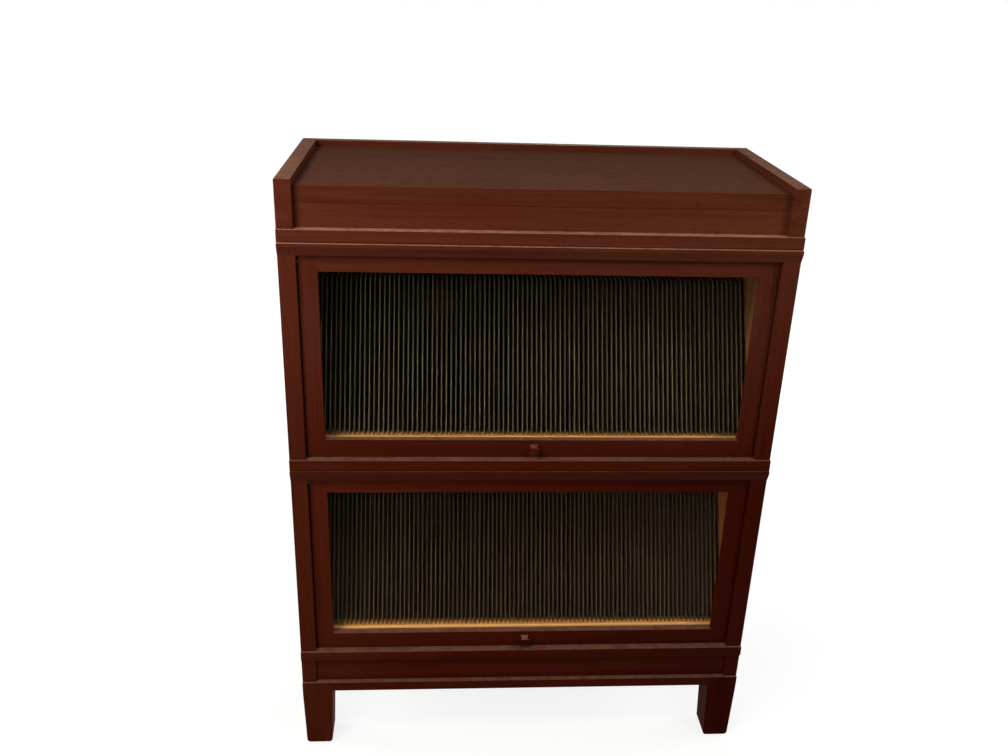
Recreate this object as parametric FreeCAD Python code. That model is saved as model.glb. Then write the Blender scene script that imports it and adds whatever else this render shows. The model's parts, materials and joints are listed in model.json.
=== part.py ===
import FreeCAD, Part
import math
import os

# A sectional record cabinet: a base on four legs, two equal sections that stack on it, and a gallery top.
# Each section has a glazed door that turns up on two pins and rides back along grooves in the sides.
# Behind each door thin upright dividers stand in a slotted rack, one disc to a slot.
# Millimetres, +Z up, front towards -Y, +X to the right of someone facing the front.
# The origin is under the middle of the whole cabinet, on the floor.

V = FreeCAD.Vector

# Overall sizes
CASE_WIDTH = 868.0
CASE_DEPTH = 370.0
BASE_HEIGHT = 203.0
LOWER_SECTION_HEIGHT = 419.0
UPPER_SECTION_HEIGHT = 416.0
TOP_HEIGHT = 103.0

# Case boards
SIDE_THICKNESS = 29.0
BACK_THICKNESS = 8.0
FLOOR_THICKNESS = 18.0
FLOOR_RAISE = 8.0
REAR_HEAD_DEPTH = 22.0
EDGE_ROUND = 1.5

# Bands along the bottom of each section and of the gallery top
BAND_HEIGHT = 21.0
TOP_BAND_HEIGHT = 22.0
BAND_FRONT_OUT = 4.5
TOP_BAND_FRONT_OUT = 3.0
BAND_UNDER_HEIGHT = 3.0
BAND_UNDER_DEPTH = 2.5

# Head frame along the top of each section
HEAD_HEIGHT = 21.5
HEAD_FRONT_OUT = 6.5
HEAD_LIP_HEIGHT = 6.0
HEAD_STOP_GAP = 1.5
HEAD_REBATE_HEIGHT = 10.0

# Glazed door
DOOR_SETBACK = 9.5
FRAME_BEHIND_DOOR = 1.5
DOOR_THICKNESS = 19.0
DOOR_SIDE_GAP = 2.0
DOOR_TOP_GAP = 2.0
DOOR_BOTTOM_GAP = 1.5
DOOR_STILE_WIDTH = 31.5
DOOR_TOP_RAIL_HEIGHT = 28.0
DOOR_BOTTOM_RAIL_HEIGHT = 33.0
GLASS_SETBACK = 11.0
GLASS_THICKNESS = 3.0
GLASS_COVER = 8.0
GLASS_PLAY = 1.0
BEAD_WIDTH = 5.0
TENON_LENGTH = 22.0
TENON_THICKNESS = 5.0
TENON_SHOULDER = 5.0
TENON_SETBACK = 3.0
JOINT_PLAY = 0.1

# Door knob and its screw
KNOB_SIZE = 17.0
KNOB_PROJECTION = 20.0
KNOB_POINT = 4.0
KNOB_HEAD_DEPTH = 2.0
KNOB_NECK_SIZE = 10.5
KNOB_BASE_SIZE = 16.5
KNOB_RISE = 16.3
SCREW_RADIUS = 2.0
SCREW_HEAD_RADIUS = 4.0
SCREW_HEAD_HEIGHT = 2.5
SCREW_IN_KNOB = 9.0
SCREW_PLAY = 0.05

# Door pins and the grooves that they ride in
PIN_RADIUS = 3.0
PIN_BELOW_DOOR_TOP = 13.5
PIN_BEHIND_DOOR_FRONT = 13.0
PIN_IN_STILE = 20.0
PIN_PLAY = 0.05
PIN_HEAD_LENGTH = 16.0
GROOVE_HEIGHT = 10.0
GROOVE_DEPTH = 10.0
GROOVE_PLAY = 0.3
GROOVE_TRAVEL = 300.0

# Record rack
RACK_BEHIND_DOOR = 11.5
RACK_REAR_SPACE = 10.0
RACK_THICKNESS = 18.0
RACK_END_PLAY = 1.0
SLOT_DEPTH = 8.0
SLOT_PLAY = 0.2
DIVIDER_PITCH = 8.73
DIVIDER_THICKNESS = 2.0
DIVIDER_BEHIND_RACK_FRONT = 8.5
DIVIDER_LEAN_BACK = 130.5
DIVIDER_HEADROOM = 92.0
DIVIDER_END_SPACE = 10.0
COMB_DEPTH = 24.0
COMB_HEIGHT = 30.0
COMB_BELOW_TOP = 45.0
COMB_GRIP = 12.0

# Gallery top
CHEEK_THICKNESS = 27.5
CHEEK_ROUND = 3.0
TOP_BOARD_THICKNESS = 28.0
TOP_BOARD_SETBACK = 11.5
TOP_BOARD_DROP = 12.0
TOP_FRIEZE_SETBACK = 12.6
TOP_FRIEZE_THICKNESS = 18.0
GALLERY_RAIL_THICKNESS = 18.0

# Base and legs
BASE_BOARD_HEIGHT = 53.0
BASE_SIDE_THICKNESS = 27.0
APRON_HEIGHT = 19.0
APRON_THICKNESS = 22.0
BASE_FRIEZE_SETBACK = 5.5
BASE_FRIEZE_THICKNESS = 18.0
BASE_REAR_THICKNESS = 18.0
LEG_SIZE = 58.0
LEG_TAPER = 4.5
LEG_OUTER_TAPER = 3.5
LEG_KNEE_BELOW_APRON = 4.0
LEG_FOOT_ROUND = 7.0
BRACKET_SIZE = 4.0
BRACKET_SAG_SHARE = 0.2
GLIDE_RADIUS = 5.5
GLIDE_HEIGHT = 2.0
GLIDE_NAIL_RADIUS = 1.5
GLIDE_NAIL_LENGTH = 15.0

# Loose dowels that line the stacked units up
DOWEL_RADIUS = 5.0
DOWEL_DEPTH = 11.0
DOWEL_LENGTH = 20.0
DOWEL_PLAY = 0.1
DOWEL_FRONT = 60.0
DOWEL_REAR = 60.0

# One overrun for every cut
OVERRUN = 5.0

# Places that follow from the sizes above; y is measured back from the front edges of the case sides
HALF_WIDTH = CASE_WIDTH / 2
INNER_HALF = HALF_WIDTH - SIDE_THICKNESS
CHEEK_INNER = HALF_WIDTH - CHEEK_THICKNESS
BASE_INNER = HALF_WIDTH - BASE_SIDE_THICKNESS
LOWER_Z = BASE_HEIGHT
UPPER_Z = LOWER_Z + LOWER_SECTION_HEIGHT
TOP_Z = UPPER_Z + UPPER_SECTION_HEIGHT
BACK_FRONT = CASE_DEPTH - BACK_THICKNESS
DOOR_BACK = DOOR_SETBACK + DOOR_THICKNESS
FRAME_DEPTH = DOOR_BACK + FRAME_BEHIND_DOOR
HEAD_STOP_DEPTH = DOOR_SETBACK - HEAD_STOP_GAP
RACK_FRONT = DOOR_BACK + RACK_BEHIND_DOOR
DIVIDER_FRONT = RACK_FRONT + DIVIDER_BEHIND_RACK_FRONT
APRON_TOP = BASE_HEIGHT - BASE_BOARD_HEIGHT
LEG_KNEE = APRON_TOP - APRON_HEIGHT - BRACKET_SIZE - LEG_KNEE_BELOW_APRON
FRONT_REACH = max(BAND_FRONT_OUT, KNOB_PROJECTION - DOOR_SETBACK)
MIDDLE = V(0, (FRONT_REACH - CASE_DEPTH) / 2, 0)


def box(x0, x1, y0, y1, z0, z1):
    return Part.makeBox(x1 - x0, y1 - y0, z1 - z0, V(x0, y0, z0))


def mirrored(shape):
    return shape.mirror(V(0, 0, 0), V(1, 0, 0))


def both_sides(shape):
    return Part.makeCompound([mirrored(shape), shape])


def rod(radius, start, axis, length):
    return Part.makeCylinder(radius, length, start, axis)


def straight(*points):
    return [Part.LineSegment(a, b).toShape() for a, b in zip(points, points[1:])]


def prism(edges, run):
    return Part.Face(Part.Wire(edges)).extrude(run)


def quarter_round(start, corner, end):
    """An arc from start to end that rounds the square corner between them."""
    middle = corner + ((start - corner) + (end - corner)) * (1 - math.sqrt(2) / 2)
    return Part.Arc(start, middle, end).toShape()


def under_round(foot, top):
    """An arc that leaves the point top straight down and curves in to the point foot."""
    inward = top - foot
    inward.z = 0
    height = top.z - foot.z
    depth = inward.Length
    radius = (height ** 2 + depth ** 2) / (2 * depth)
    centre = top - inward * (radius / depth)
    half_turn = math.asin(height / radius) / 2
    side = inward * (radius / depth * math.cos(half_turn))
    return Part.Arc(foot, centre + side - V(0, 0, radius * math.sin(half_turn)), top).toShape()


def band_edges(out, z0, height):
    """Outline of a front band, seen from its end."""
    front = -out
    foot = V(0, front + BAND_UNDER_DEPTH, z0)
    shoulder = V(0, front, z0 + BAND_UNDER_HEIGHT)
    below_arris = V(0, front, z0 + height - EDGE_ROUND)
    arris = V(0, front, z0 + height)
    past_arris = V(0, front + EDGE_ROUND, z0 + height)
    edges = [under_round(foot, shoulder)]
    edges += straight(shoulder, below_arris)
    edges.append(quarter_round(below_arris, arris, past_arris))
    edges += straight(past_arris, V(0, FRAME_DEPTH, z0 + height), V(0, FRAME_DEPTH, z0), foot)
    return edges


def full_width(edges):
    """A front member with this outline, from one side of the case to the other."""
    member = prism(edges, V(CASE_WIDTH, 0, 0))
    member.translate(V(-HALF_WIDTH, 0, 0))
    return member


def dowel_places():
    x = HALF_WIDTH - CHEEK_THICKNESS / 2
    return [V(x, DOWEL_FRONT, 0), V(x, CASE_DEPTH - DOWEL_REAR, 0)]


def dowel_holes(z):
    """Holes for the right-hand dowels, through the joint at height z."""
    low = V(0, 0, z - DOWEL_DEPTH)
    radius = DOWEL_RADIUS + DOWEL_PLAY
    return [rod(radius, p + low, V(0, 0, 1), 2 * DOWEL_DEPTH) for p in dowel_places()]


def dowels():
    right = []
    for z in (LOWER_Z, UPPER_Z, TOP_Z):
        low = V(0, 0, z - DOWEL_LENGTH / 2)
        right += [rod(DOWEL_RADIUS, p + low, V(0, 0, 1), DOWEL_LENGTH) for p in dowel_places()]
    return Part.makeCompound([mirrored(d) for d in right] + right)


def side_rail(z0, z1):
    """Right-hand rail that runs back from a front member, flush with the side of the case."""
    return box(INNER_HALF, HALF_WIDTH, FRAME_DEPTH, CASE_DEPTH, z0, z1)


def band(z0, height, out):
    """Front band of a unit and the two side bands behind its ends."""
    front = full_width(band_edges(out, z0, height))
    side = side_rail(z0, z0 + height).cut(dowel_holes(z0))
    return front, both_sides(side)


def head(z1):
    """Front head rail, side returns and rear rail that frame the top of a section ending at height z1."""
    z0 = z1 - HEAD_HEIGHT
    lip = z1 - HEAD_LIP_HEIGHT
    roof = z0 + HEAD_REBATE_HEIGHT
    face = -HEAD_FRONT_OUT
    below_arris = V(0, face, z1 - EDGE_ROUND)
    past_arris = V(0, face + EDGE_ROUND, z1)
    edges = straight(V(0, 0, z0), V(0, face, lip), below_arris)
    edges.append(quarter_round(below_arris, V(0, face, z1), past_arris))
    edges += straight(past_arris, V(0, FRAME_DEPTH, z1), V(0, FRAME_DEPTH, z0), V(0, 0, z0))
    rebate = box(-INNER_HALF, INNER_HALF, HEAD_STOP_DEPTH, FRAME_DEPTH + OVERRUN, z0 - OVERRUN, roof)
    front = full_width(edges).cut(rebate)
    side = side_rail(z0, z1).cut(dowel_holes(z1))
    rear = box(-INNER_HALF, INNER_HALF, BACK_FRONT - REAR_HEAD_DEPTH, BACK_FRONT, z0, z1)
    return front, both_sides(side), rear


def pin_axis(z1):
    """Point on a door's turning axis, in the middle of a section that ends at height z1."""
    y = DOOR_SETBACK + PIN_BEHIND_DOOR_FRONT
    z = z1 - HEAD_HEIGHT - DOOR_TOP_GAP - PIN_BELOW_DOOR_TOP
    return V(0, y, z)


def side_panel(z0, z1):
    """Right-hand side of a section, grooved for the door pin."""
    panel = box(INNER_HALF, HALF_WIDTH, 0, CASE_DEPTH, z0 + BAND_HEIGHT, z1 - HEAD_HEIGHT)
    pin = pin_axis(z1)
    front = pin.y - PIN_HEAD_LENGTH / 2 - GROOVE_PLAY
    back = pin.y + PIN_HEAD_LENGTH / 2 + GROOVE_TRAVEL + GROOVE_PLAY
    groove = box(INNER_HALF - OVERRUN, INNER_HALF + GROOVE_DEPTH, front, back,
                 pin.z - GROOVE_HEIGHT / 2, pin.z + GROOVE_HEIGHT / 2)
    return panel.cut(groove)


def divider_places():
    """Places across the cabinet of the dividers, counted out evenly from the middle."""
    each_way = int((INNER_HALF - DIVIDER_END_SPACE) / DIVIDER_PITCH)
    return [i * DIVIDER_PITCH for i in range(-each_way, each_way + 1)]


def rack(z0, z1):
    """Rack board, rear comb and the dividers in their slots, which slope back at the front."""
    floor = z0 + BAND_HEIGHT + FLOOR_RAISE
    top = floor + RACK_THICKNESS
    tip = z1 - HEAD_HEIGHT - DIVIDER_HEADROOM
    half = INNER_HALF - RACK_END_PLAY
    rear = BACK_FRONT - RACK_REAR_SPACE
    comb_front = BACK_FRONT - COMB_DEPTH
    comb_top = tip - COMB_BELOW_TOP
    divider_rear = comb_front + COMB_GRIP
    half_thick = DIVIDER_THICKNESS / 2
    slot_half = half_thick + SLOT_PLAY / 2
    foot = top - SLOT_DEPTH
    front_tip = DIVIDER_FRONT + DIVIDER_LEAN_BACK
    outline = [V(0, DIVIDER_FRONT, foot), V(0, DIVIDER_FRONT, top), V(0, front_tip, tip),
               V(0, divider_rear, tip), V(0, divider_rear, foot)]
    board_slots = []
    comb_slots = []
    dividers = []
    for x in divider_places():
        board_slots.append(box(x - slot_half, x + slot_half, DIVIDER_FRONT - SLOT_PLAY, rear + OVERRUN,
                               foot, top + OVERRUN))
        comb_slots.append(box(x - slot_half, x + slot_half, comb_front - OVERRUN, divider_rear + SLOT_PLAY,
                              comb_top - COMB_HEIGHT - OVERRUN, comb_top + OVERRUN))
        divider = prism(straight(*outline, outline[0]), V(DIVIDER_THICKNESS, 0, 0))
        divider.translate(V(x - half_thick, 0, 0))
        dividers.append(divider)
    board = box(-half, half, RACK_FRONT, rear, floor, top).cut(Part.makeCompound(board_slots))
    comb = box(-half, half, comb_front, BACK_FRONT, comb_top - COMB_HEIGHT, comb_top)
    comb = comb.cut(Part.makeCompound(comb_slots))
    return board, comb, Part.makeCompound(dividers)


def section(name, z0, z1):
    """The fixed pieces of one section, from height z0 to z1."""
    ledge = z0 + BAND_HEIGHT
    right = side_panel(z0, z1)
    sill, side_bands = band(z0, BAND_HEIGHT, BAND_FRONT_OUT)
    head_rail, head_returns, rear_head_rail = head(z1)
    board, comb, dividers = rack(z0, z1)
    floor_top = ledge + FLOOR_RAISE
    floor_low = floor_top - FLOOR_THICKNESS
    floor = box(-INNER_HALF, INNER_HALF, FRAME_DEPTH, BACK_FRONT, floor_low, floor_top)
    return {
        name + "_left_side": mirrored(right),
        name + "_right_side": right,
        name + "_sill_band": sill,
        name + "_side_bands": side_bands,
        name + "_head_rail": head_rail,
        name + "_head_returns": head_returns,
        name + "_rear_head_rail": rear_head_rail,
        name + "_back_panel": box(-INNER_HALF, INNER_HALF, BACK_FRONT, CASE_DEPTH, z0, z1),
        name + "_floor_board": floor,
        name + "_rack_board": board,
        name + "_rear_comb": comb,
        name + "_dividers": dividers,
    }


def door_knob(centre):
    """A square knob with a pointed face on a neck, and its screw; centre lies on the door's face."""
    y = centre.y
    shoulder = y - KNOB_PROJECTION + KNOB_POINT
    half = KNOB_SIZE / 2
    neck = KNOB_NECK_SIZE / 2
    base_half = KNOB_BASE_SIZE / 2
    rear = shoulder + KNOB_HEAD_DEPTH

    def square(h, depth):
        turns = ((-1, -1), (1, -1), (1, 1), (-1, 1))
        corners = [V(centre.x + h * i, depth, centre.z + h * k) for i, k in turns]
        return Part.Wire(straight(*corners, corners[0]))

    tip = V(centre.x, y - KNOB_PROJECTION, centre.z)
    corners = [vertex.Point for vertex in square(half, shoulder).OrderedVertexes]
    sides = zip(corners, corners[1:] + corners[:1])
    facets = [Part.Face(Part.Wire(straight(a, b, tip, a))) for a, b in sides]
    facets.append(Part.Face(square(half, shoulder)))
    point = Part.Solid(Part.Shell(facets))
    if point.Volume < 0:
        point.reverse()
    block = Part.Face(square(half, shoulder)).extrude(V(0, KNOB_HEAD_DEPTH, 0))
    waist = (y + rear) / 2
    stem = Part.makeLoft([square(half, rear), square(neck, waist), square(base_half, y)], True)
    shaft_length = DOOR_THICKNESS - SCREW_HEAD_HEIGHT + SCREW_IN_KNOB
    shaft_start = V(centre.x, y - SCREW_IN_KNOB, centre.z)
    bore = rod(SCREW_RADIUS + SCREW_PLAY, shaft_start, V(0, 1, 0), shaft_length)
    knob = point.fuse([block, stem]).removeSplitter().cut(bore)
    back = y + DOOR_THICKNESS
    seat_start = V(centre.x, back - SCREW_HEAD_HEIGHT, centre.z)
    shaft = rod(SCREW_RADIUS, shaft_start, V(0, 1, 0), shaft_length)
    cap = rod(SCREW_HEAD_RADIUS, seat_start, V(0, 1, 0), SCREW_HEAD_HEIGHT)
    seat = rod(SCREW_HEAD_RADIUS + SCREW_PLAY, seat_start, V(0, 1, 0), SCREW_HEAD_HEIGHT + OVERRUN)
    hole_start = V(centre.x, y - OVERRUN, centre.z)
    hole = rod(SCREW_RADIUS + SCREW_PLAY, hole_start, V(0, 1, 0), DOOR_THICKNESS + OVERRUN)
    return knob, shaft.fuse(cap).removeSplitter(), [seat, hole]


def door(name, z0, z1):
    """The pieces of a section's door, closed, and the two pins that carry it."""
    front = DOOR_SETBACK
    back = front + DOOR_THICKNESS
    half = INNER_HALF - DOOR_SIDE_GAP
    low = z0 + BAND_HEIGHT + DOOR_BOTTOM_GAP
    high = z1 - HEAD_HEIGHT - DOOR_TOP_GAP
    sight = half - DOOR_STILE_WIDTH
    sight_low = low + DOOR_BOTTOM_RAIL_HEIGHT
    sight_high = high - DOOR_TOP_RAIL_HEIGHT
    glass_front = front + GLASS_SETBACK
    glass_back = glass_front + GLASS_THICKNESS
    rebate = box(-sight - GLASS_COVER, sight + GLASS_COVER, glass_front, back + OVERRUN,
                 sight_low - GLASS_COVER, sight_high + GLASS_COVER)
    tenon_front = front + TENON_SETBACK
    tenon_back = tenon_front + TENON_THICKNESS

    def rail(z_low, z_high):
        body = box(-sight, sight, front, back, z_low, z_high).cut(rebate)
        tongue = box(-sight - TENON_LENGTH, sight + TENON_LENGTH, tenon_front, tenon_back,
                     z_low + TENON_SHOULDER, z_high - TENON_SHOULDER)
        return body.fuse(tongue).removeSplitter()

    def mortise(z_low, z_high):
        shoulder = TENON_SHOULDER - JOINT_PLAY
        return box(sight - OVERRUN, sight + TENON_LENGTH + JOINT_PLAY, tenon_front - JOINT_PLAY,
                   tenon_back + JOINT_PLAY, z_low + shoulder, z_high - shoulder)

    pin = pin_axis(z1)
    socket = rod(PIN_RADIUS + PIN_PLAY, V(half - PIN_IN_STILE - PIN_PLAY, pin.y, pin.z), V(1, 0, 0),
                 PIN_IN_STILE + OVERRUN)
    stile = box(sight, half, front, back, low, high).cut(rebate)
    stile = stile.cut([mortise(low, sight_low), mortise(sight_high, high), socket])

    cover = GLASS_COVER - GLASS_PLAY
    glass_half = sight + cover
    glass = box(-glass_half, glass_half, glass_front, glass_back, sight_low - cover, sight_high + cover)
    bead_out = sight + GLASS_COVER
    bead_in = bead_out - BEAD_WIDTH
    bead_low = sight_low - GLASS_COVER + BEAD_WIDTH
    bead_high = sight_high + GLASS_COVER - BEAD_WIDTH
    beads = [
        box(-bead_out, bead_out, glass_back, back, sight_low - GLASS_COVER, bead_low),
        box(-bead_out, bead_out, glass_back, back, bead_high, sight_high + GLASS_COVER),
        box(-bead_out, -bead_in, glass_back, back, bead_low, bead_high),
        box(bead_in, bead_out, glass_back, back, bead_low, bead_high),
    ]

    knob, screw, screw_cuts = door_knob(V(0, front, low + KNOB_RISE))
    bottom_rail = rail(low, sight_low).cut(screw_cuts)

    inner_end = half - PIN_IN_STILE
    head_start = INNER_HALF + GROOVE_PLAY
    head_size = GROOVE_HEIGHT / 2 - GROOVE_PLAY
    shank = rod(PIN_RADIUS, V(inner_end, pin.y, pin.z), V(1, 0, 0), head_start - inner_end)
    shoe = box(head_start, INNER_HALF + GROOVE_DEPTH - GROOVE_PLAY, pin.y - PIN_HEAD_LENGTH / 2,
               pin.y + PIN_HEAD_LENGTH / 2, pin.z - head_size, pin.z + head_size)
    return {
        name + "_door_left_stile": mirrored(stile),
        name + "_door_right_stile": stile,
        name + "_door_top_rail": rail(sight_high, high),
        name + "_door_bottom_rail": bottom_rail,
        name + "_door_glass": glass,
        name + "_door_beads": Part.makeCompound(beads),
        name + "_door_knob": knob,
        name + "_door_knob_screw": screw,
        name + "_door_pins": both_sides(shank.fuse(shoe).removeSplitter()),
    }


def rounded_cheek(z0, z1):
    """Right-hand gallery cheek, its upper outer arris rounded."""
    cheek = box(CHEEK_INNER, HALF_WIDTH, 0, CASE_DEPTH, z0, z1)

    def on_arris(edge):
        bounds = edge.BoundBox
        along_top = bounds.ZMin > z1 - EDGE_ROUND
        outside = bounds.XMin > HALF_WIDTH - EDGE_ROUND
        at_front = bounds.YMax < EDGE_ROUND
        return (along_top and outside) or (along_top and at_front) or (outside and at_front)

    return cheek.makeFillet(CHEEK_ROUND, [edge for edge in cheek.Edges if on_arris(edge)])


def gallery_top():
    z0 = TOP_Z
    ledge = z0 + TOP_BAND_HEIGHT
    z1 = z0 + TOP_HEIGHT
    board_top = z1 - TOP_BOARD_DROP
    board_low = board_top - TOP_BOARD_THICKNESS
    front_band, side_bands = band(z0, TOP_BAND_HEIGHT, TOP_BAND_FRONT_OUT)
    rail_front = CASE_DEPTH - GALLERY_RAIL_THICKNESS
    cheek = rounded_cheek(ledge, z1)
    frieze_back = TOP_FRIEZE_SETBACK + TOP_FRIEZE_THICKNESS
    back_rail = box(-CHEEK_INNER, CHEEK_INNER, rail_front, CASE_DEPTH, ledge, z1)
    back_foot = box(-INNER_HALF, INNER_HALF, rail_front, CASE_DEPTH, z0, ledge)
    return {
        "top_band": front_band,
        "top_side_bands": side_bands,
        "top_left_cheek": mirrored(cheek),
        "top_right_cheek": cheek,
        "top_frieze": box(-CHEEK_INNER, CHEEK_INNER, TOP_FRIEZE_SETBACK, frieze_back, ledge, board_low),
        "top_board": box(-CHEEK_INNER, CHEEK_INNER, TOP_BOARD_SETBACK, rail_front, board_low, board_top),
        "gallery_back_rail": back_rail.fuse(back_foot).removeSplitter(),
    }


def front_right_leg():
    """A leg, square at the top and tapered below on its inner and outer faces, with a rounded foot."""
    x1 = HALF_WIDTH
    y0 = -BAND_FRONT_OUT
    x0 = x1 - LEG_SIZE
    y1 = y0 + LEG_SIZE
    knee = LEG_KNEE
    straight_part = box(x0, x1, y0, y1, knee, APRON_TOP)

    def plan(inner, outer, z):
        near = x1 - outer
        far = x0 + inner
        back = y1 - inner
        corners = [V(far, y0, z), V(near, y0, z), V(near, back, z), V(far, back, z)]
        return Part.Wire(straight(*corners, corners[0]))

    def on_foot(edge):
        bounds = edge.BoundBox
        return bounds.ZMax < GLIDE_HEIGHT + EDGE_ROUND and bounds.YLength > bounds.XLength

    tapered = Part.makeLoft([plan(LEG_TAPER, LEG_OUTER_TAPER, GLIDE_HEIGHT), plan(0, 0, knee)], True, True)
    tapered = tapered.makeFillet(LEG_FOOT_ROUND, [edge for edge in tapered.Edges if on_foot(edge)])
    hole = rod(GLIDE_NAIL_RADIUS, glide_place(), V(0, 0, 1), GLIDE_HEIGHT + GLIDE_NAIL_LENGTH)
    return straight_part.fuse(tapered).removeSplitter().cut(hole)


def glide_place():
    across = (LEG_SIZE - LEG_TAPER + LEG_OUTER_TAPER) / 2
    deep = (LEG_SIZE - LEG_TAPER) / 2
    return V(HALF_WIDTH - across, deep - BAND_FRONT_OUT, 0)


def to_rear(shape):
    """The rear twin of a front leg or glide, turned about the middle of the case's depth."""
    return shape.mirror(V(0, (CASE_DEPTH - BAND_FRONT_OUT) / 2, 0), V(0, 1, 0))


def glide():
    """A domed nail glide: a low disc with its nail in the leg."""
    disc = rod(GLIDE_RADIUS, glide_place(), V(0, 0, 1), GLIDE_HEIGHT)
    nail = rod(GLIDE_NAIL_RADIUS, glide_place() + V(0, 0, GLIDE_HEIGHT), V(0, 0, 1), GLIDE_NAIL_LENGTH)
    return disc.fuse(nail).removeSplitter()


def front_apron():
    """Rail between the front legs, with a small bracket curve at each end."""
    y0 = -BAND_FRONT_OUT
    half = HALF_WIDTH - LEG_SIZE
    low = APRON_TOP - APRON_HEIGHT
    tip = low - BRACKET_SIZE
    sag = BRACKET_SIZE * BRACKET_SAG_SHARE

    def bracket(sign):
        end = V(sign * half, y0, tip)
        inner = V(sign * (half - BRACKET_SIZE), y0, low)
        middle = (end + inner) / 2 + V(sign * sag, 0, sag)
        return end, inner, Part.Arc(end, middle, inner).toShape()

    left_end, left_inner, left_arc = bracket(-1)
    right_end, right_inner, right_arc = bracket(1)
    edges = straight(left_end, V(-half, y0, APRON_TOP), V(half, y0, APRON_TOP), right_end)
    edges.append(right_arc)
    edges += straight(right_inner, left_inner)
    edges.append(left_arc)
    return prism(edges, V(0, APRON_THICKNESS, 0))


def base():
    leg = front_right_leg()
    rear_leg = to_rear(leg)
    low = APRON_TOP - APRON_HEIGHT
    half = HALF_WIDTH - LEG_SIZE
    leg_back = LEG_SIZE - BAND_FRONT_OUT
    apron_inner = HALF_WIDTH - APRON_THICKNESS
    side_apron = box(apron_inner, HALF_WIDTH, leg_back, CASE_DEPTH - LEG_SIZE, low, APRON_TOP)
    side_board = box(BASE_INNER, HALF_WIDTH, 0, CASE_DEPTH, APRON_TOP, BASE_HEIGHT)
    side_board = side_board.cut(dowel_holes(BASE_HEIGHT))
    frieze_back = BASE_FRIEZE_SETBACK + BASE_FRIEZE_THICKNESS
    frieze = box(-BASE_INNER, BASE_INNER, BASE_FRIEZE_SETBACK, frieze_back, APRON_TOP, BASE_HEIGHT)
    rear_front = CASE_DEPTH - BASE_REAR_THICKNESS
    rear_board = box(-BASE_INNER, BASE_INNER, rear_front, CASE_DEPTH, APRON_TOP, BASE_HEIGHT)
    rear_apron = box(-half, half, rear_front, CASE_DEPTH, low, APRON_TOP)
    front_glide = glide()
    return {
        "left_front_leg": mirrored(leg),
        "right_front_leg": leg,
        "left_rear_leg": mirrored(rear_leg),
        "right_rear_leg": rear_leg,
        "base_front_apron": front_apron(),
        "base_side_aprons": both_sides(side_apron),
        "base_frieze": frieze,
        "base_side_boards": both_sides(side_board),
        "base_rear_board": rear_board.fuse(rear_apron).removeSplitter(),
        "foot_glides": Part.makeCompound([both_sides(front_glide), both_sides(to_rear(front_glide))]),
    }


nodes = {}
nodes.update(base())
for section_name, low_z, high_z in (("lower", LOWER_Z, UPPER_Z), ("upper", UPPER_Z, TOP_Z)):
    nodes.update(section(section_name, low_z, high_z))
    nodes.update(door(section_name, low_z, high_z))
nodes.update(gallery_top())
nodes["stacking_dowels"] = dowels()

os.makedirs("parts", exist_ok=True)
for node_name, node_shape in nodes.items():
    node_shape.translate(MIDDLE)
    node_shape.exportStep("parts/" + node_name + ".step")
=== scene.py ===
import json
import math
import random

import bmesh
import bpy
from mathutils import Matrix, Vector


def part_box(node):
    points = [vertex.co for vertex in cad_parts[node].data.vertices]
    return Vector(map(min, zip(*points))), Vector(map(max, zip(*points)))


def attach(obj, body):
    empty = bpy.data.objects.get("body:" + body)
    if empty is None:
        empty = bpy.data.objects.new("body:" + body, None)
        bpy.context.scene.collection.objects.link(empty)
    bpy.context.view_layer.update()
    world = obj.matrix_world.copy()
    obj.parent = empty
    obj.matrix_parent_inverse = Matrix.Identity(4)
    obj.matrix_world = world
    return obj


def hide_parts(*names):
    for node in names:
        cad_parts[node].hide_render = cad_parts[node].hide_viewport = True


# The looks of the record cabinet, in metres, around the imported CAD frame. Front towards -Y, +Z up.
# Every CAD node keeps its mesh, apart from the dividers, which get slightly bowed boards.

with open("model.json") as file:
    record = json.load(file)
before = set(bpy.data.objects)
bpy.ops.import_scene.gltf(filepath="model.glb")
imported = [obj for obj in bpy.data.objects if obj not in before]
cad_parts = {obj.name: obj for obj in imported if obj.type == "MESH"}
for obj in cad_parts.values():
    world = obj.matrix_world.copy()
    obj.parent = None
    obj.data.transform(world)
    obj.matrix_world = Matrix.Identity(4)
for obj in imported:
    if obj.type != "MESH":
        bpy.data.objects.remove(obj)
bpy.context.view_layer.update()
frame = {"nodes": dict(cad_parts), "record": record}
nodes = frame["nodes"]

# Camera, found from the corners of the case in the photograph
CAMERA_PLACE = Vector((-0.1748, -1.73415, 1.4711))
CAMERA_YAW = 0.0745
CAMERA_PITCH = 0.4051
CAMERA_ROLL = -0.0356
CAMERA_LENS = 35.03
CAMERA_SENSOR = 36.0
CAMERA_NEAR = 0.05

# Colours, as linear shares of red, green and blue
MAHOGANY_DARK = (0.058, 0.0085, 0.0036)
MAHOGANY_MID = (0.088, 0.0150, 0.0062)
MAHOGANY_LIGHT = (0.122, 0.0235, 0.0100)
MAHOGANY_BROWN = (0.082, 0.0205, 0.0080)
MAHOGANY_PORE = (0.026, 0.0040, 0.0020)
SHELLAC_SHEEN = (1.0, 0.22, 0.09)
# Upward ledges are lighter, partly from a dusting and partly as painted sheen where light falls on them
LEDGE_DUST_AND_SHEEN = (0.340, 0.1900, 0.1200)
LEDGE_RUBBED_AND_SHEEN = (0.560, 0.2750, 0.1800)
CHEEK_DUST_AND_SHEEN = (0.360, 0.1900, 0.1100)
TABLE_DUST_AND_SHEEN = (0.200, 0.1050, 0.0600)
RAW_DARK = (0.110, 0.050, 0.021)
RAW_LIGHT = (0.190, 0.095, 0.042)
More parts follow.
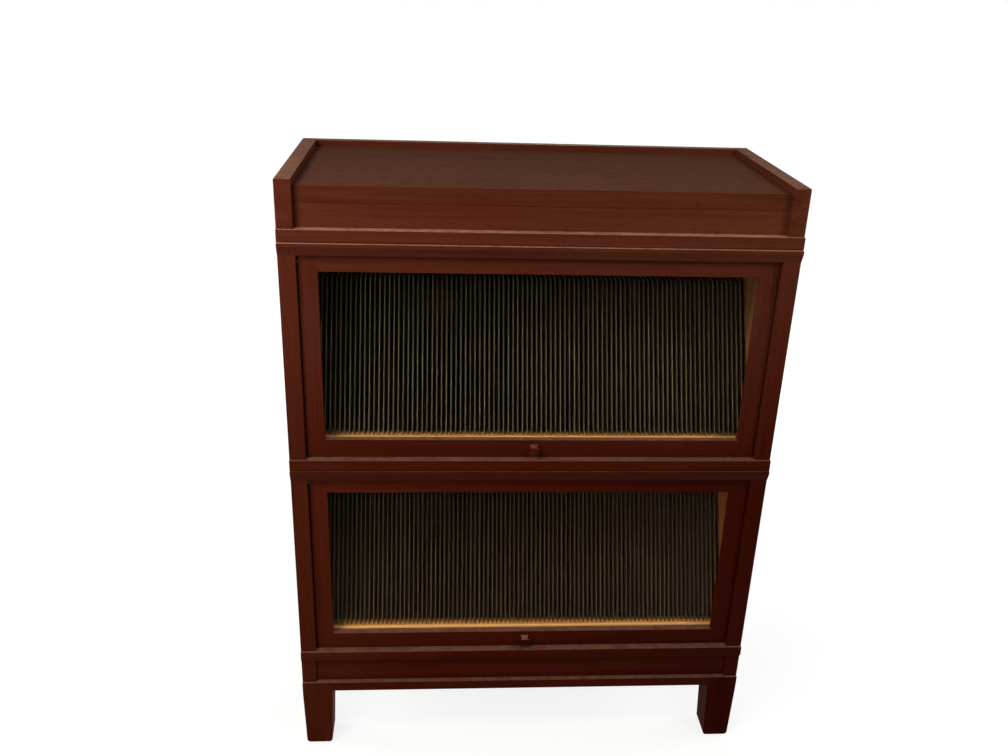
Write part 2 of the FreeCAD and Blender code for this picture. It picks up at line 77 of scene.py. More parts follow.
# Inner walls of the sides; the lower section's walls are painted lighter and more orange than the upper ones,
# as painted light
WALL_DARK = (0.090, 0.036, 0.013)
WALL_LIGHT = (0.190, 0.088, 0.032)
WALL_LOWER_LIT_DARK = (0.220, 0.070, 0.018)
WALL_LOWER_LIT_LIGHT = (0.340, 0.120, 0.034)
RACK_DARK = (0.340, 0.132, 0.028)
RACK_LIGHT = (0.520, 0.235, 0.060)
# Painted highlight along the front arris of the rack, and painted shade on the rack behind the divider feet
RACK_PAINTED_HIGHLIGHT = (0.860, 0.470, 0.160)
RACK_PAINTED_SHADE = (0.045, 0.019, 0.006)
# Divider faces near black as painted shade between the boards; their edges a lighter grey-olive
BOARD_SHADED_FACE_DARK = (0.0095, 0.0046, 0.0014)
BOARD_SHADED_FACE_LIGHT = (0.0210, 0.0108, 0.0040)
BOARD_EDGE_DARK = (0.074, 0.056, 0.0310)
BOARD_EDGE_LIGHT = (0.150, 0.120, 0.0720)
STEEL_DARK = (0.20, 0.19, 0.18)
STEEL_LIGHT = (0.46, 0.44, 0.41)
GLASS_TINT = (0.97, 0.975, 0.955)
GLASS_SHEEN = (0.14, 0.10, 0.05)
FLOOR_GREY = (0.30, 0.30, 0.30)
WARM_WHITE = (1.0, 0.95, 0.88)
WHITE = (1.0, 1.0, 1.0)

# Painted light and shade: tints that multiply the mahogany, darker low down, paler high up as painted sheen,
# paler at the top right, lighter at the low left and darker at the low right
MAHOGANY_LOW_SHADE = (0.80, 0.57, 0.55)
MAHOGANY_HIGH_SHEEN = (1.06, 1.32, 1.60)
MAHOGANY_TOP_RIGHT_LIGHT = (1.16, 1.66, 1.72)
MAHOGANY_LOW_LEFT_LIGHT = (1.00, 0.96, 0.87)
MAHOGANY_LOW_RIGHT_SHADE = (0.62, 0.38, 0.37)

# Painted shade and light: tints that darken the rack and the divider edges in the upper section, and darken
# the divider edges and lighten the divider faces in the lower section
RACK_UPPER_SHADE = (0.80, 0.78, 0.70)
BOARD_EDGE_UPPER_SHADE = (0.76, 0.73, 0.70)
BOARD_EDGE_LOWER_SHADE = (0.58, 0.44, 0.28)
BOARD_FACE_LOWER_LIGHT = (2.2, 1.7, 1.2)

# Noise figures: fineness per metre (one across and one along the grain, one for each axis, or one for all),
# and then detail, roughness and distortion where they differ from the usual ones
RIBBON = ((26.0, 1.4), 3.0, 0.55, 0.3)
STREAK = ((210.0, 5.0), 4.0, 0.6, 0.15)
PORES = ((1100.0, 48.0), 1.0, 0.5)
PATCHES = (4.5, 2.0, 0.5)
WANDER = (3.5, 2.0, 0.5)
CLOUDS = (55.0, 4.0, 0.65)
PALE_STREAK = ((240.0, 2.5), 4.0, 0.6, 0.2)
PALE_FIBRE = ((900.0, 30.0), 2.0, 0.6)
PALE_FLECK = ((420.0, 60.0), 1.0)
BOARD_FIBRE = ((700.0, 500.0, 60.0), 3.0, 0.65)
BOARD_EACH = ((110.0, 0.0, 0.0), 1.0)
BOARD_SMUDGE = ((90.0, 14.0, 14.0), 3.0, 0.6)
GLASS_RIPPLE = ((9.0, 9.0, 5.0), 1.0)
GLASS_SMEAR = ((16.0, 16.0, 9.0), 4.0, 0.6, 0.6)
STEEL_BRUSH = ((300.0, 1800.0, 1800.0), 2.0)
STEEL_TARNISH = (120.0, 4.0, 0.65)
OBJECT_SHIFT = 37.0

# Ranges of a figure, and the range that each is carried to where four numbers are given
DARK_TO_MID = (0.30, 0.52)
MID_TO_LIGHT = (0.50, 0.74)
BROWN_PATCHES = (0.45, 0.70, 0.0, 0.40)
PORE_MARKS = (0.62, 0.74, 0.0, 0.55)
FACING_UP = (0.55, 0.95)
DUST_AND_SHEEN_CLOUDS = (0.28, 0.66, 0.30, 0.62)
SHELLAC_ROUGHNESS = (0.30, 0.70, 0.34, 0.46)
WALL_FIGURE = (0.32, 0.66)
PALE_STREAKS = (0.30, 0.70)
PALE_FIBRES = (0.45, 0.75, 0.0, 0.30)
PALE_FLECKS = (0.64, 0.76, 0.0, 0.35)
RAW_ROUGHNESS = (0.3, 0.7, 0.60, 0.75)
RACK_ROUGHNESS = (0.3, 0.7, 0.45, 0.60)
BOARD_TONES = (0.34, 0.66)
BOARD_FACE_FIBRES = (0.50, 0.78, 0.0, 0.45)
BOARD_EDGE_FIBRES = (0.52, 0.78, 0.0, 0.10)
BOARD_SIDEWAYS = (0.45, 0.88)
BOARD_ROUGHNESS = (0.3, 0.7, 0.62, 0.80)
GLASS_SMEARS = (0.52, 0.80, 0.0, 0.05)
STEEL_TONES = (0.35, 0.65)
STEEL_ROUGHNESS = (0.3, 0.7, 0.28, 0.50)

# Places where a look changes, with the share that it has at either end where four numbers are given
HIGH_SHEEN_HEIGHTS = (0.72, 1.10)
PAINTED_LIGHT_WANDER = 0.30
TOP_RIGHT_LIGHT_REACH = (0.05, 0.55)
TOP_RIGHT_LIGHT_HEIGHTS = (0.95, 1.08)
LOW_HEIGHTS = (0.58, 0.66, 1.0, 0.0)
LOW_LEFT_LIGHT_REACH = (-0.43, -0.12, 1.0, 0.0)
LOW_RIGHT_SHADE_REACH = (0.02, 0.42)
DUST_AND_SHEEN_HEIGHTS = (0.66, 1.02)
DUST_AND_SHEEN_LOW_SHARE = 0.72
WALL_FACE_ROOM = 0.0004
WALL_DOOR_ROOM = 0.002
RACK_HIGHLIGHT_DEPTHS = (0.0025, 0.0060)
RACK_HIGHLIGHT_SHARE = 0.9
RACK_SHADE_DEPTHS = (0.009, 0.021)
RACK_SHADE_SHARE = 0.95
RACK_UPPER_HEIGHTS = (0.40, 0.60)
BOARD_LOW_HEIGHTS = (0.60, 0.64, 1.0, 0.0)

# How much each figure counts
RIBBON_SHARE = 0.55
STREAK_SHARE = 0.45
STREAK_RELIEF = 0.35
PORE_ROUGHNESS = 0.20
DUST_ROUGHNESS = 0.16
WALL_ROUGHNESS = 0.2
FLECK_SHADE = 0.45
BOARD_EACH_SHARE = 0.6
BOARD_SMUDGE_SHARE = 0.4

# Depth in metres and strength of each bump, and levels of sheen
MAHOGANY_BUMP = (0.00012, 0.5)
PALE_BUMP = (0.0001, 0.5)
BOARD_BUMP = (0.00008, 0.15)
GLASS_BUMP = (0.0006, 0.015)
STEEL_BUMP = (0.00003, 0.4)
MAHOGANY_SHEEN = 0.03
CHEEK_SHEEN = 0.004
LEG_SHEEN = 0.002
TABLE_SHEEN = 0.001
PALE_SHEEN = 0.25
BOARD_SHEEN = 0.2
GLASS_IOR = 1.18

# Arrises
ARRIS = 0.0005
BACK_ARRIS = 0.0020
ARRIS_SEGMENTS = 2
ARRIS_ANGLE = math.radians(40.0)
WELD_REACH = 0.00001
FLAT_ANGLE = math.radians(0.5)
NORMAL_WEIGHT = 60

# Dividers
DIVIDER_COUNT = 91
DIVIDER_THICKNESS = 0.0020
DIVIDER_LEAN_BACK = 0.1305
DIVIDER_BOW = 0.0001
DIVIDER_LEAN = 0.0005
DIVIDER_LEVELS = 12
DIVIDER_SEEDS = {"upper": 11, "lower": 23}
EDGE_STEPS = 5
SHARP_ANGLE = math.radians(45.0)

# Floor and light
FLOOR_HALF = 30.0
FLOOR_GLOW = (0.9, 3.2, 0.80, 1.0)
AMBIENT = 0.10
FIRST_BOUNCE = 0.5
FRONT_TARGET = (0.0, -0.15, 0.6)
TOP_TARGET = (0.0, -0.15, 1.1)
FILL_TARGET = (0.0, 0.1, 0.6)
# Name, place, target, width, power in watts and colour
LIGHTS = (
    ("key", (-0.95, -1.65, 1.45), FRONT_TARGET, 0.9, 12.0, WARM_WHITE),
    ("top_left", (-0.95, -0.85, 1.75), TOP_TARGET, 0.5, 9.5, WARM_WHITE),
    ("top_right", (0.95, -0.85, 1.75), TOP_TARGET, 0.5, 6.0, WARM_WHITE),
    ("left_fill", (-2.4, 0.25, 1.0), FILL_TARGET, 1.2, 28.0, WHITE),
    ("right_fill", (2.4, 0.25, 1.0), FILL_TARGET, 1.2, 25.0, WHITE),
    ("back_fill", (0.4, 2.6, 0.75), FILL_TARGET, 1.1, 38.0, WHITE),
)

AXES = "xyz"


class Shader:
    """Short calls for building the nodes of one material or world."""

    def __init__(self, owner, output="ShaderNodeOutputMaterial"):
        owner.use_nodes = True
        self.owner = owner
        self.tree = owner.node_tree
        self.tree.nodes.clear()
        self.output = self.tree.nodes.new(output)

    def add(self, kind, **values):
        node = self.tree.nodes.new(kind)
        for key, value in values.items():
            setattr(node, key, value)
        return node

    def link(self, source, target):
        self.tree.links.new(source, target)

    def feed(self, socket, value):
        """Set a socket, or link it where the value is another node's output."""
        if isinstance(value, bpy.types.NodeSocket):
            self.link(value, socket)
        elif isinstance(value, tuple) and len(value) == 3 and socket.type == "RGBA":
            socket.default_value = (*value, 1.0)
        else:
            socket.default_value = value

    def coords(self, output="Object"):
        return self.add("ShaderNodeTexCoord").outputs[output]

    def parts(self, vector):
        """The x, y and z of a vector."""
        node = self.add("ShaderNodeSeparateXYZ")
        self.feed(node.inputs["Vector"], vector)
        return tuple(node.outputs)

    def noise(self, vector, fineness, detail=3.0, rough=0.55, distortion=0.0, axis=None):
        """Noise with one fineness, one for each axis, or one across and one along the axis of the grain."""
        if axis:
            across, along = fineness
            fineness = tuple(along if each == axis else across for each in AXES)
        if isinstance(fineness, tuple):
            mapping = self.add("ShaderNodeMapping")
            self.feed(mapping.inputs["Vector"], vector)
            mapping.inputs["Scale"].default_value = fineness
            vector = mapping.outputs["Vector"]
            fineness = 1.0
        node = self.add("ShaderNodeTexNoise")
        self.feed(node.inputs["Vector"], vector)
        node.inputs["Scale"].default_value = fineness
        node.inputs["Detail"].default_value = detail
        node.inputs["Roughness"].default_value = rough
        node.inputs["Distortion"].default_value = distortion
        return node.outputs["Fac"]

    def between(self, value, low, high, out_low=0.0, out_high=1.0):
        """Carry a range of values smoothly to another range."""
        node = self.add("ShaderNodeMapRange", interpolation_type="SMOOTHSTEP", clamp=True)
        self.feed(node.inputs["Value"], value)
        node.inputs["From Min"].default_value = low
        node.inputs["From Max"].default_value = high
        node.inputs["To Min"].default_value = out_low
        node.inputs["To Max"].default_value = out_high
        return node.outputs["Result"]

    def math(self, operation, first, second=0.0):
        node = self.add("ShaderNodeMath", operation=operation)
        self.feed(node.inputs[0], first)
        self.feed(node.inputs[1], second)
        return node.outputs["Value"]

    def mix(self, share, first, second, blend="MIX"):
        node = self.add("ShaderNodeMix", data_type="RGBA", blend_type=blend)
        self.feed(node.inputs[0], share)
        colours = [socket for socket in node.inputs if socket.type == "RGBA"]
        self.feed(colours[0], first)
        self.feed(colours[1], second)
        return next(socket for socket in node.outputs if socket.type == "RGBA")

    def times(self, colour, tint):
        return self.mix(1.0, colour, tint, "MULTIPLY")

    def bump(self, height, distance, strength):
        node = self.add("ShaderNodeBump")
        self.feed(node.inputs["Height"], height)
        node.inputs["Distance"].default_value = distance
        node.inputs["Strength"].default_value = strength
        return node.outputs["Normal"]

    def principled(self, **values):
        node = self.add("ShaderNodeBsdfPrincipled")
        for key, value in values.items():
            self.feed(node.inputs[key.replace("_", " ")], value)
        self.link(node.outputs["BSDF"], self.output.inputs["Surface"])

    def seen(self):
        """1 for what the eye sees straight, mirrored or through glass, and 0 for light that has bounced."""
        path = self.add("ShaderNodeLightPath")
        seen = self.math("MAXIMUM", path.outputs["Is Camera Ray"], path.outputs["Is Glossy Ray"])
        seen = self.math("MAXIMUM", seen, path.outputs["Is Transmission Ray"])
        straight = self.math("LESS_THAN", path.outputs["Diffuse Depth"], FIRST_BOUNCE)
        return self.math("MULTIPLY", seen, straight)


def shifted(shader, vector):
    """Coordinates shifted for each object, so that no two boards show the same figure."""
    info = shader.add("ShaderNodeObjectInfo")
    spread = shader.math("MULTIPLY", info.outputs["Random"], OBJECT_SHIFT)
    node = shader.add("ShaderNodeVectorMath", operation="ADD")
    shader.feed(node.inputs[0], vector)
    shader.feed(node.inputs[1], spread)
    return node.outputs["Vector"]


def mahogany(name, axis, ledge=LEDGE_DUST_AND_SHEEN, dust_and_sheen=1.0, sheen=MAHOGANY_SHEEN, shade=1.0, inner_wall=False):
    """Shellacked mahogany with its grain along one axis; painted light makes it paler towards the top and
    darker low down, and its upward ledges are lighter from a dusting and painted sheen.
    """
    s = Shader(bpy.data.materials.new(name))
    place = s.coords()
    x, y, z = s.parts(place)
    spread = shifted(s, place)
    ribbon = s.noise(spread, *RIBBON, axis=axis)
    streak = s.noise(spread, *STREAK, axis=axis)
    pores = s.noise(spread, *PORES, axis=axis)

    figure = s.math("ADD", s.math("MULTIPLY", ribbon, RIBBON_SHARE), s.math("MULTIPLY", streak, STREAK_SHARE))
    colour = s.mix(s.between(figure, *DARK_TO_MID), MAHOGANY_DARK, MAHOGANY_MID)
    colour = s.mix(s.between(figure, *MID_TO_LIGHT), colour, MAHOGANY_LIGHT)
    colour = s.mix(s.between(s.noise(spread, *PATCHES), *BROWN_PATCHES), colour, MAHOGANY_BROWN)

    # Painted light and shade: the tints make the wood paler and greyer high up and at the top right, darker
    # low down and at the low right, and lighter at the low left
    wander = s.math("MULTIPLY", s.noise(place, *WANDER), PAINTED_LIGHT_WANDER)
    high = s.between(s.math("ADD", z, wander), *HIGH_SHEEN_HEIGHTS)
    right = s.between(s.math("ADD", x, wander), *TOP_RIGHT_LIGHT_REACH)
    low = s.between(z, *LOW_HEIGHTS)
    tint = s.mix(high, MAHOGANY_LOW_SHADE, MAHOGANY_HIGH_SHEEN)
    tint = s.mix(s.math("MULTIPLY", right, s.between(z, *TOP_RIGHT_LIGHT_HEIGHTS)), tint, MAHOGANY_TOP_RIGHT_LIGHT)
    tint = s.mix(s.math("MULTIPLY", s.between(x, *LOW_LEFT_LIGHT_REACH), low), tint, MAHOGANY_LOW_LEFT_LIGHT)
    tint = s.mix(s.math("MULTIPLY", s.between(x, *LOW_RIGHT_SHADE_REACH), low), tint, MAHOGANY_LOW_RIGHT_SHADE)
    # The shade factor scales the whole colour as painted light or shade for single pieces
    colour = s.times(colour, s.times(tint, (shade, shade, shade)))
    pore_share = s.between(pores, *PORE_MARKS)
    colour = s.mix(pore_share, colour, MAHOGANY_PORE)

    # Upward faces are lighter, partly from a dusting and partly as painted sheen, less so lower down
    up = s.between(s.parts(s.coords("Normal"))[2], *FACING_UP)
    dust_and_sheen_share = s.math("MULTIPLY", up, s.between(s.noise(place, *CLOUDS), *DUST_AND_SHEEN_CLOUDS))
    dust_and_sheen_share = s.math("MULTIPLY", dust_and_sheen_share, s.between(z, *DUST_AND_SHEEN_HEIGHTS, DUST_AND_SHEEN_LOW_SHARE * dust_and_sheen, dust_and_sheen))
    colour = s.mix(dust_and_sheen_share, colour, ledge)

    rough = s.math("MULTIPLY", pore_share, PORE_ROUGHNESS)
    rough = s.math("ADD", s.between(streak, *SHELLAC_ROUGHNESS), rough)
    rough = s.math("ADD", rough, s.math("MULTIPLY", dust_and_sheen_share, DUST_ROUGHNESS))
    height = s.math("SUBTRACT", s.math("MULTIPLY", streak, STREAK_RELIEF), pore_share)
    if inner_wall:
        inner_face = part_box("upper_right_side")[0].x
        door_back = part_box("upper_door_right_stile")[1].y
        inside = s.math("LESS_THAN", s.math("ABSOLUTE", x), inner_face + WALL_FACE_ROOM)
        inside = s.math("MULTIPLY", inside, s.math("GREATER_THAN", y, door_back + WALL_DOOR_ROOM))
        tone = s.between(figure, *WALL_FIGURE)
        # The lower section's inner wall is painted lighter and more orange than the upper one, as painted
        # light
        raw = s.mix(low, s.mix(tone, WALL_DARK, WALL_LIGHT), s.mix(tone, WALL_LOWER_LIT_DARK, WALL_LOWER_LIT_LIGHT))
        colour = s.mix(inside, colour, raw)
        rough = s.math("ADD", rough, s.math("MULTIPLY", inside, WALL_ROUGHNESS))
    s.principled(Base_Color=colour, Roughness=rough, Normal=s.bump(height, *MAHOGANY_BUMP),
                 Specular_IOR_Level=sheen, Specular_Tint=SHELLAC_SHEEN)
    return s.owner


def pale_wood(name, dark, light, roughness, in_rack=False):
    """Light wood: soft streaks, fine fibre and a few darker flecks; the rack carries a painted highlight
    along its front arris, painted shade behind the divider feet, and is painted darker in the upper section.
    """
    s = Shader(bpy.data.materials.new(name))
    place = s.coords()
    spread = shifted(s, place)
    streak = s.noise(spread, *PALE_STREAK, axis="x")
    fibre = s.noise(spread, *PALE_FIBRE, axis="x")
    fleck = s.noise(spread, *PALE_FLECK, axis="x")
    colour = s.mix(s.between(streak, *PALE_STREAKS), dark, light)
    colour = s.mix(s.between(fibre, *PALE_FIBRES), colour, dark)
    colour = s.mix(s.between(fleck, *PALE_FLECKS), colour, tuple(FLECK_SHADE * part for part in dark))
    if in_rack:
        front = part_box("upper_rack_board")[0].y
        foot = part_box("upper_dividers")[0].y
        y, z = s.parts(place)[1:]
        # A painted highlight along the front arris, painted shade behind the divider feet, and painted shade
        # over the whole upper rack
        arris = [front + depth for depth in RACK_HIGHLIGHT_DEPTHS]
        shade_depths = [foot + depth for depth in RACK_SHADE_DEPTHS]
        colour = s.mix(s.between(y, *arris, RACK_HIGHLIGHT_SHARE, 0.0), colour, RACK_PAINTED_HIGHLIGHT)
        colour = s.mix(s.between(y, *shade_depths, 0.0, RACK_SHADE_SHARE), colour, RACK_PAINTED_SHADE)
        colour = s.mix(s.between(z, *RACK_UPPER_HEIGHTS), colour, s.times(colour, RACK_UPPER_SHADE))
    s.principled(Base_Color=colour, Roughness=s.between(fibre, *roughness), Normal=s.bump(fibre, *PALE_BUMP),
                 Specular_IOR_Level=PALE_SHEEN)
    return s.owner


def divider_board():
    """Thin dark board with fibres and handling marks; its faces are near black as painted shade between the
    boards, its edges grey-olive, and the two sections differ as painted light and shade.
    """
    s = Shader(bpy.data.materials.new("divider_board"))
    place = s.coords()
    fibre = s.noise(place, *BOARD_FIBRE)
    each = s.math("MULTIPLY", s.noise(place, *BOARD_EACH), BOARD_EACH_SHARE)
    smudge = s.math("MULTIPLY", s.noise(place, *BOARD_SMUDGE), BOARD_SMUDGE_SHARE)
    tone = s.between(s.math("ADD", each, smudge), *BOARD_TONES)
    face = s.mix(tone, BOARD_SHADED_FACE_DARK, BOARD_SHADED_FACE_LIGHT)
    face = s.mix(s.between(fibre, *BOARD_FACE_FIBRES), face, BOARD_SHADED_FACE_DARK)
    edge = s.mix(tone, BOARD_EDGE_DARK, BOARD_EDGE_LIGHT)
    edge = s.mix(s.between(fibre, *BOARD_EDGE_FIBRES), edge, BOARD_EDGE_DARK)
    # The edges and faces of the two sections differ as painted light and shade
    low = s.between(s.parts(place)[2], *BOARD_LOW_HEIGHTS)
    edge = s.times(edge, s.mix(low, BOARD_EDGE_UPPER_SHADE, BOARD_EDGE_LOWER_SHADE))
    face = s.times(face, s.mix(low, WHITE, BOARD_FACE_LOWER_LIGHT))
    # Sideways faces take the near-black painted shade, front edges the lighter tone
    sideways = s.math("ABSOLUTE", s.parts(s.coords("Normal"))[0])
    colour = s.mix(s.between(sideways, *BOARD_SIDEWAYS), edge, face)
    s.principled(Base_Color=colour, Roughness=s.between(fibre, *BOARD_ROUGHNESS),
                 Normal=s.bump(fibre, *BOARD_BUMP), Specular_IOR_Level=BOARD_SHEEN)
    return s.owner


def pane_glass():
    """Old window glass: faintly green, with a slight ripple and a few dull smears."""
    s = Shader(bpy.data.materials.new("pane_glass"))
    place = s.coords()
    rough = s.between(s.noise(place, *GLASS_SMEAR), *GLASS_SMEARS)
    normal = s.bump(s.noise(place, *GLASS_RIPPLE), *GLASS_BUMP)
    s.principled(Base_Color=GLASS_TINT, Roughness=rough, Normal=normal, Transmission_Weight=1.0,
                 IOR=GLASS_IOR, Specular_Tint=GLASS_SHEEN)
    return s.owner


def steel():
    """Brushed steel with a little tarnish."""
    s = Shader(bpy.data.materials.new("steel"))
    place = s.coords()
    brush = s.noise(place, *STEEL_BRUSH)
    tarnish = s.noise(place, *STEEL_TARNISH)
    colour = s.mix(s.between(tarnish, *STEEL_TONES), STEEL_DARK, STEEL_LIGHT)
    s.principled(Base_Color=colour, Metallic=1.0, Roughness=s.between(brush, *STEEL_ROUGHNESS),
                 Normal=s.bump(brush, *STEEL_BUMP))
    return s.owner


# The mahogany of single pieces and of kinds of piece; all others share one with the grain along their length
mahogany_by_axis = {axis: mahogany("mahogany_" + axis, axis) for axis in AXES}
rubbed_and_sheen_ledge = mahogany("mahogany_rubbed_and_sheen", "x", LEDGE_RUBBED_AND_SHEEN, dust_and_sheen=1.3)
mahogany_by_name = {
    "top_band": rubbed_and_sheen_ledge,
    "upper_head_rail": rubbed_and_sheen_ledge,
    "top_board": mahogany("mahogany_table", "x", TABLE_DUST_AND_SHEEN, dust_and_sheen=0.60, sheen=TABLE_SHEEN),
    # The frieze is painted lighter, and the knobs darker, the lower one more, as painted light and shade
    "top_frieze": mahogany("mahogany_frieze_painted_light", "x", shade=1.2),
    "lower_head_rail": mahogany("mahogany_low_head", "x", dust_and_sheen=0.35),
    "upper_door_knob": mahogany("mahogany_knob_painted_shade", "y", dust_and_sheen=0.85, shade=0.85),
    "lower_door_knob": mahogany("mahogany_low_knob_painted_shade", "y", dust_and_sheen=1.4, shade=0.45),
}
mahogany_by_ending = {
    "_side": mahogany("mahogany_wall", "z", inner_wall=True),
    "_cheek": mahogany("mahogany_cheek", "y", CHEEK_DUST_AND_SHEEN, sheen=CHEEK_SHEEN),
    "_leg": mahogany("mahogany_leg", "z", sheen=LEG_SHEEN),
}
board = divider_board()
material_by_slot = {
    "inner_wood": pale_wood("inner_wood", RAW_DARK, RAW_LIGHT, RAW_ROUGHNESS),
    "rack_wood": pale_wood("rack_wood", RACK_DARK, RACK_LIGHT, RACK_ROUGHNESS, in_rack=True),
    "divider_board": board,
    "glass": pane_glass(),
}
metal = steel()


def grain_axis(node):
    """The axis that a board's grain runs along: its longest side, or y where a node is a pair of boards."""
    if "head_returns" in node or "side_bands" in node or "base_side" in node:
        return "y"
    low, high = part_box(node)
    size = high - low
    return AXES[max(range(3), key=lambda i: size[i])]


def mahogany_for(node):
    if node in mahogany_by_name:
        return mahogany_by_name[node]
    for ending, material in mahogany_by_ending.items():
        if node.endswith(ending):
            return material
    return mahogany_by_axis[grain_axis(node)]


def soften(piece, width):
    """Round the sharp arrises of a CAD node."""
    weld = piece.modifiers.new("weld", "WELD")
    weld.merge_threshold = WELD_REACH
    flat = piece.modifiers.new("flat", "DECIMATE")
    flat.decimate_type = "DISSOLVE"
    flat.angle_limit = FLAT_ANGLE
    bevel = piece.modifiers.new("arris", "BEVEL")
    bevel.width = width
    bevel.segments = ARRIS_SEGMENTS
    bevel.limit_method = "ANGLE"
    bevel.angle_limit = ARRIS_ANGLE
    weighted = piece.modifiers.new("normals", "WEIGHTED_NORMAL")
    weighted.weight = NORMAL_WEIGHT
    weighted.keep_sharp = False


def dress(piece, material):
    piece.data.materials.clear()
    piece.data.materials.append(material)


SOFT_ENDINGS = ("_stile", "_rail", "_frieze", "_board", "_boards", "_aprons", "_panel", "_side", "_beads",
                "_cheek")
slots = {part["node"]: part["material_slot"] for part in frame["record"]["subparts"]}
for name, piece in nodes.items():
    if slots[name] == "mahogany":
        dress(piece, mahogany_for(name))
        if name.endswith(SOFT_ENDINGS) and "head_rail" not in name:
            soften(piece, ARRIS)
        continue
    dress(piece, material_by_slot.get(slots[name], metal))
    if slots[name] == "inner_wood" and name.endswith("_panel"):
        soften(piece, BACK_ARRIS)
    if slots[name] == "glass":
        piece.visible_shadow = False


def divider_boards(node, rack, seed):
    """Thin boards whose rounded front edges slope back above the rack, each a little bowed and leaning."""
    chance = random.Random(seed)
    low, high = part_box(node)
    rack_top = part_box(rack)[1].z
    half = DIVIDER_THICKNESS / 2
    pitch = (high.x - low.x - DIVIDER_THICKNESS) / (DIVIDER_COUNT - 1)
    turns = [math.pi * step / EDGE_STEPS for step in range(EDGE_STEPS + 1)]
    nose = [(-half * math.cos(turn), half - half * math.sin(turn)) for turn in turns]
    shares = [level / DIVIDER_LEVELS for level in range(DIVIDER_LEVELS + 1)]
    levels = [(low.z, 0.0)] + [(rack_top + (high.z - rack_top) * share, share) for share in shares]
    bm = bmesh.new()
    for i in range(DIVIDER_COUNT):
        middle = low.x + half + i * pitch
        bow = chance.uniform(-DIVIDER_BOW, DIVIDER_BOW)
        lean = chance.uniform(-DIVIDER_LEAN, DIVIDER_LEAN)
        rings = []
        for z, share in levels:
            front = low.y + DIVIDER_LEAN_BACK * share
            sway = bow * math.sin(math.pi * share) + lean * share ** 2
            ring = [bm.verts.new((middle - half, high.y, z))]
            ring += [bm.verts.new((middle + x + sway, front + y, z)) for x, y in nose]
            ring.append(bm.verts.new((middle + half, high.y, z)))
            rings.append(ring)
        count = len(rings[0])
        for lower, upper in zip(rings, rings[1:]):
            for k in range(count):
                after = (k + 1) % count
                bm.faces.new((lower[k], lower[after], upper[after], upper[k]))
        bm.faces.new(list(reversed(rings[0])))
        bm.faces.new(rings[-1])
    bmesh.ops.recalc_face_normals(bm, faces=bm.faces)
    mesh = bpy.data.meshes.new(node + "_boards")
    bm.to_mesh(mesh)
    bm.free()
    for face in mesh.polygons:
        face.use_smooth = True
    mesh.set_sharp_from_angle(angle=SHARP_ANGLE)
    piece = bpy.data.objects.new(node + "_boards", mesh)
    bpy.context.scene.collection.objects.link(piece)
    dress(piece, board)
    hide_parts(node)
    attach(piece, "cabinet")


for section, seed in DIVIDER_SEEDS.items():
    divider_boards(section + "_dividers", section + "_rack_board", seed)


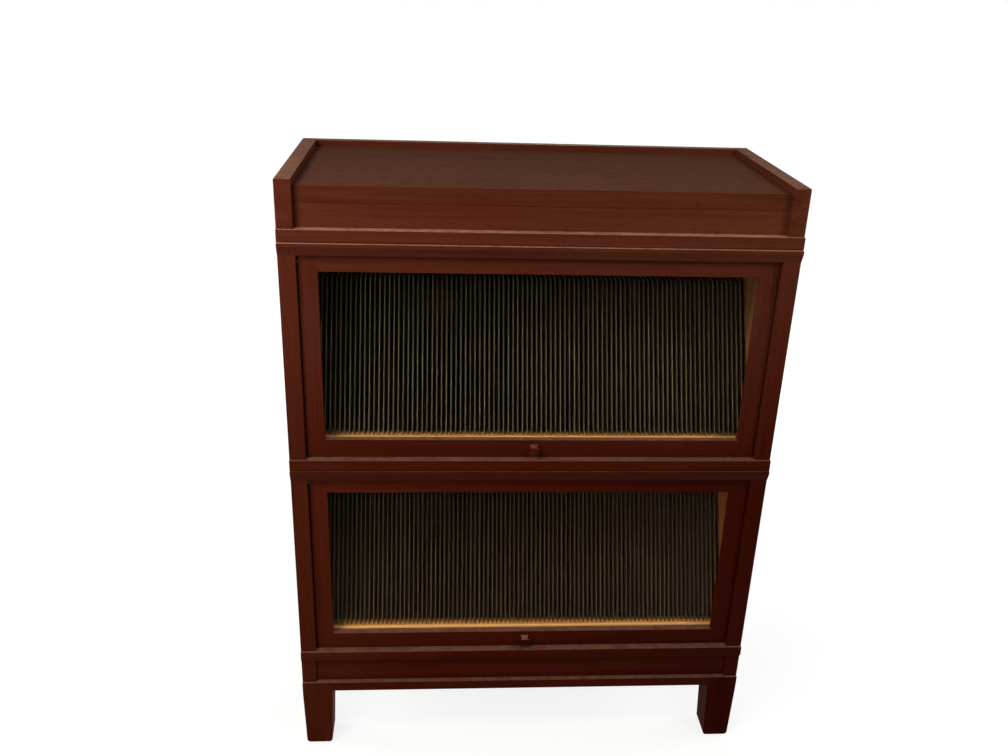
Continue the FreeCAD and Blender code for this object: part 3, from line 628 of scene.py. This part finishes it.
def pale_floor():
    """Plain pale floor that stays near white to the eye and in reflections, and still takes shadows."""
    corners = [(-FLOOR_HALF, -FLOOR_HALF, 0), (FLOOR_HALF, -FLOOR_HALF, 0), (FLOOR_HALF, FLOOR_HALF, 0),
               (-FLOOR_HALF, FLOOR_HALF, 0)]
    mesh = bpy.data.meshes.new("floor")
    mesh.from_pydata(corners, [], [(0, 1, 2, 3)])
    floor = bpy.data.objects.new("floor", mesh)
    bpy.context.scene.collection.objects.link(floor)
    s = Shader(bpy.data.materials.new("pale_floor"))
    diffuse = s.add("ShaderNodeBsdfDiffuse")
    s.feed(diffuse.inputs["Color"], FLOOR_GREY)
    glow = s.add("ShaderNodeEmission")
    s.feed(glow.inputs["Color"], WHITE)
    away = s.add("ShaderNodeVectorMath", operation="LENGTH")
    s.feed(away.inputs[0], s.coords())
    paleness = s.between(away.outputs["Value"], *FLOOR_GLOW)
    s.feed(glow.inputs["Strength"], s.math("MULTIPLY", s.seen(), paleness))
    both = s.add("ShaderNodeAddShader")
    s.link(diffuse.outputs["BSDF"], both.inputs[0])
    s.link(glow.outputs["Emission"], both.inputs[1])
    s.link(both.outputs["Shader"], s.output.inputs["Surface"])
    mesh.materials.append(s.owner)


def studio_world():
    """White to the eye, in reflections and through glass, and a weak even light on everything else."""
    world = bpy.data.worlds.new("studio")
    bpy.context.scene.world = world
    s = Shader(world, "ShaderNodeOutputWorld")
    back = s.add("ShaderNodeBackground")
    s.feed(back.inputs["Color"], WHITE)
    s.feed(back.inputs["Strength"], s.between(s.seen(), 0.0, 1.0, AMBIENT, 1.0))
    s.link(back.outputs["Background"], s.output.inputs["Surface"])


def area_light(name, place, target, size, power, colour):
    data = bpy.data.lights.new(name, "AREA")
    data.shape = "DISK"
    data.size = size
    data.energy = power
    data.color = colour
    lamp = bpy.data.objects.new(name, data)
    bpy.context.scene.collection.objects.link(lamp)
    lamp.location = place
    lamp.rotation_mode = "QUATERNION"
    lamp.rotation_quaternion = (Vector(target) - Vector(place)).to_track_quat("-Z", "Y")
    lamp.visible_camera = False


def photo_camera():
    level = Vector((math.cos(CAMERA_YAW), -math.sin(CAMERA_YAW), 0.0))
    ahead = Vector((math.sin(CAMERA_YAW), math.cos(CAMERA_YAW), 0.0))
    forward = ahead * math.cos(CAMERA_PITCH) - Vector((0.0, 0.0, math.sin(CAMERA_PITCH)))
    down = forward.cross(level)
    right = level * math.cos(CAMERA_ROLL) + down * math.sin(CAMERA_ROLL)
    low = down * math.cos(CAMERA_ROLL) - level * math.sin(CAMERA_ROLL)
    data = bpy.data.cameras.new("camera")
    data.lens = CAMERA_LENS
    data.sensor_width = CAMERA_SENSOR
    data.clip_start = CAMERA_NEAR
    camera = bpy.data.objects.new("camera", data)
    bpy.context.scene.collection.objects.link(camera)
    turn = Matrix((right, -low, -forward)).transposed()
    camera.matrix_world = Matrix.Translation(CAMERA_PLACE) @ turn.to_4x4()
    bpy.context.scene.camera = camera


pale_floor()
studio_world()
for light in LIGHTS:
    area_light(*light)
photo_camera()
bpy.context.scene.view_settings.view_transform = "Standard"
